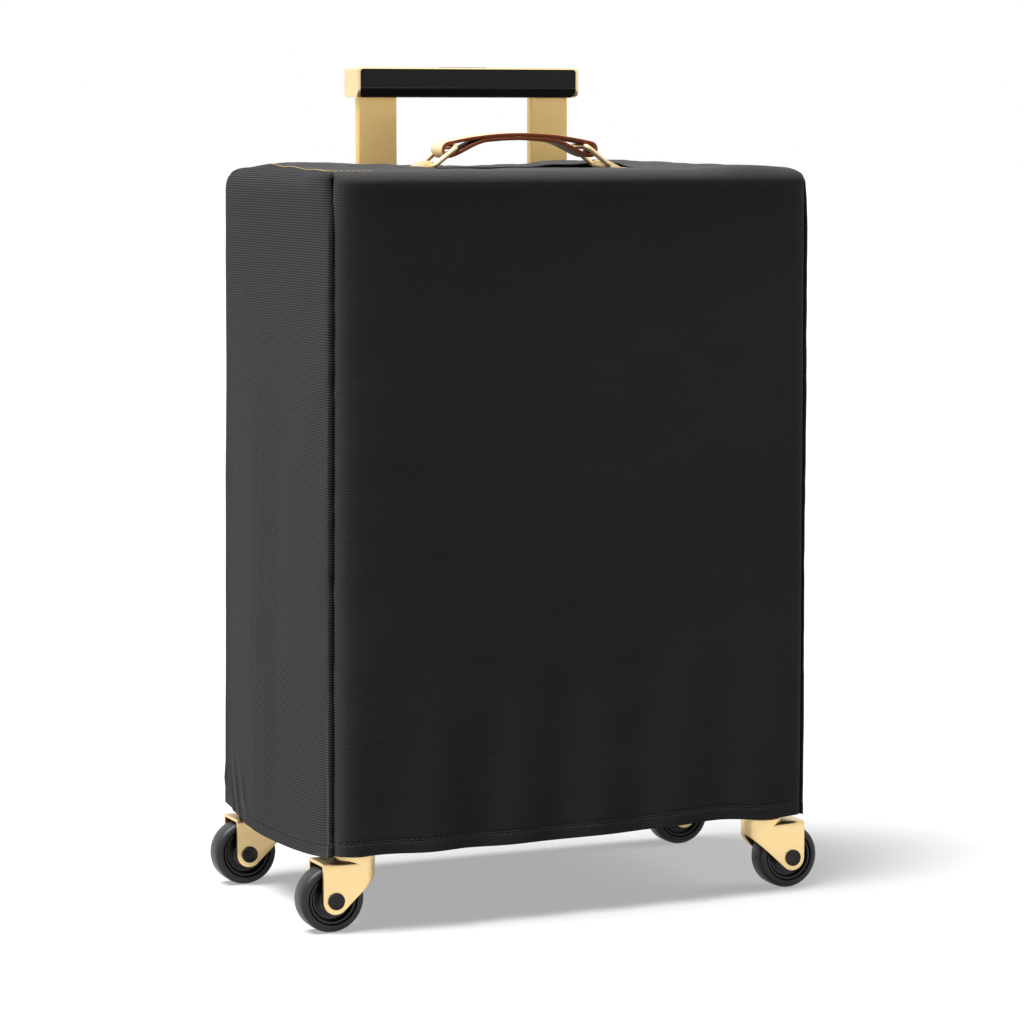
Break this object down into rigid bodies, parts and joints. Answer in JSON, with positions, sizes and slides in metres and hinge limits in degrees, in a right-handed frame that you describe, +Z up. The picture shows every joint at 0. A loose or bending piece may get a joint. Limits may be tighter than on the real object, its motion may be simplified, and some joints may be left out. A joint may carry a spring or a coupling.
{
  "type": "suitcase",
  "caption": "Cabin suitcase under a black cloth slip cover, with a raised gold trolley handle, an arched leather carry handle and swivel casters.",
  "frame": {"origin": "on the floor, under the middle of the case", "axes": "+Z up, +X across the case to its right seen from the front, +Y from the front face to the back face, where the trolley is"},
  "size_m": [0.424, 0.23, 0.6264],
  "materials": {
    "cover_cloth": "black fine nylon twill, matt with a soft sheen",
    "shell": "black ribbed hard shell, fine matt grain",
    "zip_tape": "black woven zip tape with nylon coil",
    "lining": "tan polyester lining on board",
    "gold_aluminium": "satin champagne gold anodised",
    "gold_steel": "satin champagne gold plated",
    "raw_aluminium": "mill finish",
    "steel": "zinc plated",
    "grip_black": "smooth satin black",
    "nylon": "black moulded nylon",
    "axle_black": "black oxide, satin",
    "hub": "glossy black moulded",
    "tyre": "black polyurethane, satin",
    "leather": "champagne leather with brown painted edges"
  },
  "bodies": {
    "case": {"back_shell": "shell", "back_zip_band": "zip_tape", "hinge_back_leaves": "steel", "hinge_pins": "steel", "trolley_tube_left": "raw_aluminium", "trolley_tube_right": "raw_aluminium", "tube_collars": "nylon", "top_bezel": "gold_aluminium", "tube_braces": "raw_aluminium", "lining_board": "lining", "handle_lugs": "gold_steel", "rear_caster_plates": "steel", "rear_kingpins": "steel", "rear_swivel_bearings": "steel", "rear_caster_screws": "steel"},
    "lid": {"front_shell": "shell", "front_zip_band": "zip_tape", "hinge_front_leaves": "steel", "front_caster_plates": "steel", "front_kingpins": "steel", "front_swivel_bearings": "steel", "front_caster_screws": "steel"},
    "cover": {"cover_front_panel": "cover_cloth", "cover_back_panel": "cover_cloth", "cover_top_panel": "cover_cloth", "cover_left_gusset": "cover_cloth", "cover_right_gusset": "cover_cloth", "cover_hem": "cover_cloth"},
    "trolley": {"trolley_leg_left": "gold_aluminium", "trolley_leg_right": "gold_aluminium", "grip_frame": "gold_aluminium", "grip_pad": "grip_black", "leg_plugs": "nylon"},
    "release": {"release_button": "grip_black", "release_rods": "raw_aluminium"},
    "plunger_left": {"lock_plunger_left": "steel"},
    "plunger_right": {"lock_plunger_right": "steel"},
    "strap": {"handle_strap": "leather"},
    "link_left": {"handle_link_left": "gold_steel"},
    "link_right": {"handle_link_right": "gold_steel"},
    "zip_runner": {"zip_slider": "gold_steel"},
    "zip_tab": {"zip_puller": "gold_steel"},
    "fork_front_left": {"caster_fork_front_left": "gold_steel", "axle_bolt_front_left": "axle_black"},
    "wheel_front_left": {"wheel_hub_front_left": "hub", "tyre_front_left": "tyre"},
    "fork_front_right": {"caster_fork_front_right": "gold_steel", "axle_bolt_front_right": "axle_black"},
    "wheel_front_right": {"wheel_hub_front_right": "hub", "tyre_front_right": "tyre"},
    "fork_back_left": {"caster_fork_back_left": "gold_steel", "axle_bolt_back_left": "axle_black"},
    "wheel_back_left": {"wheel_hub_back_left": "hub", "tyre_back_left": "tyre"},
    "fork_back_right": {"caster_fork_back_right": "gold_steel", "axle_bolt_back_right": "axle_black"},
    "wheel_back_right": {"wheel_hub_back_right": "hub", "tyre_back_right": "tyre"}
  },
  "joints": [
    {"name": "cover_lift", "type": "slide", "parent": "case", "child": "cover", "axis": [0, 0, 1], "range_m": [0, 0.62]},
    {"name": "lid_hinge", "type": "hinge", "parent": "case", "child": "lid", "pos_m": [-0.1866, -0.038, 0.3], "axis": [0, 0, -1], "range_deg": [0, 180], "deforming": ["cover_front_panel", "cover_back_panel", "cover_top_panel", "cover_left_gusset", "cover_right_gusset", "cover_hem"]},
    {"name": "trolley_slide", "type": "slide", "parent": "case", "child": "trolley", "axis": [0, 0, 1], "range_m": [-0.0525, 0.36]},
    {"name": "button_press", "type": "slide", "parent": "trolley", "child": "release", "axis": [0, 0, -1], "range_m": [0, 0.003], "stiffness_N_per_m": 800, "springref_m": -0.003},
    {"name": "plunger_left_slide", "type": "slide", "parent": "trolley", "child": "plunger_left", "axis": [1, 0, 0], "range_m": [0, 0.002]},
    {"name": "plunger_right_slide", "type": "slide", "parent": "trolley", "child": "plunger_right", "axis": [-1, 0, 0], "range_m": [0, 0.002]},
    {"name": "strap_lift", "type": "slide", "parent": "case", "child": "strap", "axis": [0, 0, 1], "range_m": [-0.006, 0.006]},
    {"name": "link_left_hinge", "type": "hinge", "parent": "case", "child": "link_left", "pos_m": [-0.0725, -0.004, 0.5515], "axis": [0, -1, 0], "range_deg": [-17.5, 17.5]},
    {"name": "link_right_hinge", "type": "hinge", "parent": "case", "child": "link_right", "pos_m": [0.0725, -0.004, 0.5515], "axis": [0, 1, 0], "range_deg": [-17.5, 17.5]},
    {"name": "zip_slide", "type": "slide", "parent": "case", "child": "zip_runner", "axis": [0, 0, 1], "range_m": [-0.2, 0.2]},
    {"name": "puller_hinge", "type": "hinge", "parent": "zip_runner", "child": "zip_tab", "pos_m": [0.1871, -0.038, 0.2922], "axis": [0, -1, 0], "range_deg": [0, 130]},
    {"name": "swivel_front_left", "type": "hinge", "parent": "lid", "child": "fork_front_left", "pos_m": [-0.1675, -0.091, 0.05], "axis": [0, 0, 1], "continuous": true},
    {"name": "roll_front_left", "type": "hinge", "parent": "fork_front_left", "child": "wheel_front_left", "pos_m": [-0.1875, -0.091, 0.0245], "axis": [0, 1, 0], "continuous": true},
    {"name": "swivel_front_right", "type": "hinge", "parent": "lid", "child": "fork_front_right", "pos_m": [0.1675, -0.091, 0.05], "axis": [0, 0, 1], "continuous": true},
    {"name": "roll_front_right", "type": "hinge", "parent": "fork_front_right", "child": "wheel_front_right", "pos_m": [0.1875, -0.091, 0.0245], "axis": [0, 1, 0], "continuous": true},
    {"name": "swivel_back_left", "type": "hinge", "parent": "case", "child": "fork_back_left", "pos_m": [-0.1675, 0.091, 0.05], "axis": [0, 0, 1], "continuous": true},
    {"name": "roll_back_left", "type": "hinge", "parent": "fork_back_left", "child": "wheel_back_left", "pos_m": [-0.1875, 0.091, 0.0245], "axis": [0, 1, 0], "continuous": true},
    {"name": "swivel_back_right", "type": "hinge", "parent": "case", "child": "fork_back_right", "pos_m": [0.1675, 0.091, 0.05], "axis": [0, 0, 1], "continuous": true},
    {"name": "roll_back_right", "type": "hinge", "parent": "fork_back_right", "child": "wheel_back_right", "pos_m": [0.1875, 0.091, 0.0245], "axis": [0, 1, 0], "continuous": true}
  ],
  "couplings": [
    {"joint": "plunger_left_slide", "follows": "button_press", "ratio": 0.66},
    {"joint": "plunger_right_slide", "follows": "button_press", "ratio": 0.66},
    {"joint": "link_left_hinge", "follows": "strap_lift", "rad_per_m": 50},
    {"joint": "link_right_hinge", "follows": "strap_lift", "rad_per_m": 50}
  ]
}
